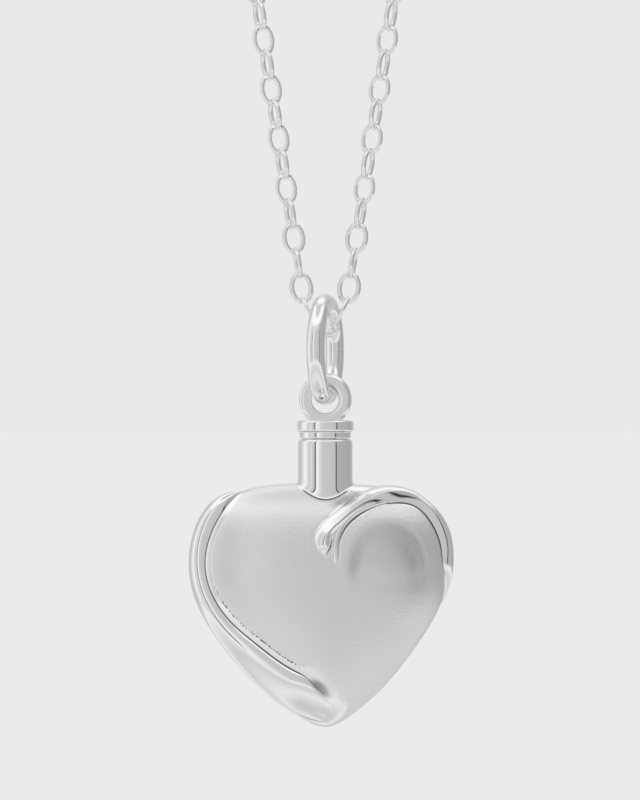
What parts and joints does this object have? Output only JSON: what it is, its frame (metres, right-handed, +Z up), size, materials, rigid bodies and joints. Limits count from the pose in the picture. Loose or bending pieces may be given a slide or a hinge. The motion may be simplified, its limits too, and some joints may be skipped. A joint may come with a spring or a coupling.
{
  "type": "keepsake urn pendant necklace",
  "caption": "Silver heart pendant with a hollow chamber under a screw stopper, hung by a round bail on a closed oval cable chain.",
  "frame": {"origin": "top middle of the closed chain, at the underside of the clasp, where the necklace hangs on a nape or hook", "axes": "-Y is the front of the pendant, +X is to the right in the front view, +Z is up; the pendant hangs towards -Z"},
  "size_m": [0.0586, 0.0085, 0.2412],
  "materials": {
    "chain_silver": "polished sterling silver",
    "polished_silver": "polished sterling silver",
    "heart_silver": "satin sterling silver with polished ribbons and collar"
  },
  "bodies": {
    "necklace": {"chain_left": "chain_silver", "chain_right": "chain_silver", "clasp": "chain_silver"},
    "bail": {"bail_ring": "polished_silver"},
    "stopper": {"stopper": "polished_silver"},
    "heart": {"heart_body": "heart_silver"}
  },
  "joints": [
    {"name": "bail_swing", "type": "hinge", "parent": "necklace", "child": "bail", "pos_m": [0, 0, -0.20392], "axis": [1, 0, 0], "range_deg": [-30, 30]},
    {"name": "pendant_swing", "type": "hinge", "parent": "bail", "child": "stopper", "pos_m": [0, 0, -0.21008], "axis": [0.2079, 0.9781, 0], "range_deg": [-75, 75]},
    {"name": "heart_unscrew", "type": "slide", "parent": "stopper", "child": "heart", "axis": [0, 0, -1], "range_m": [0, 0.0034]}
  ]
}
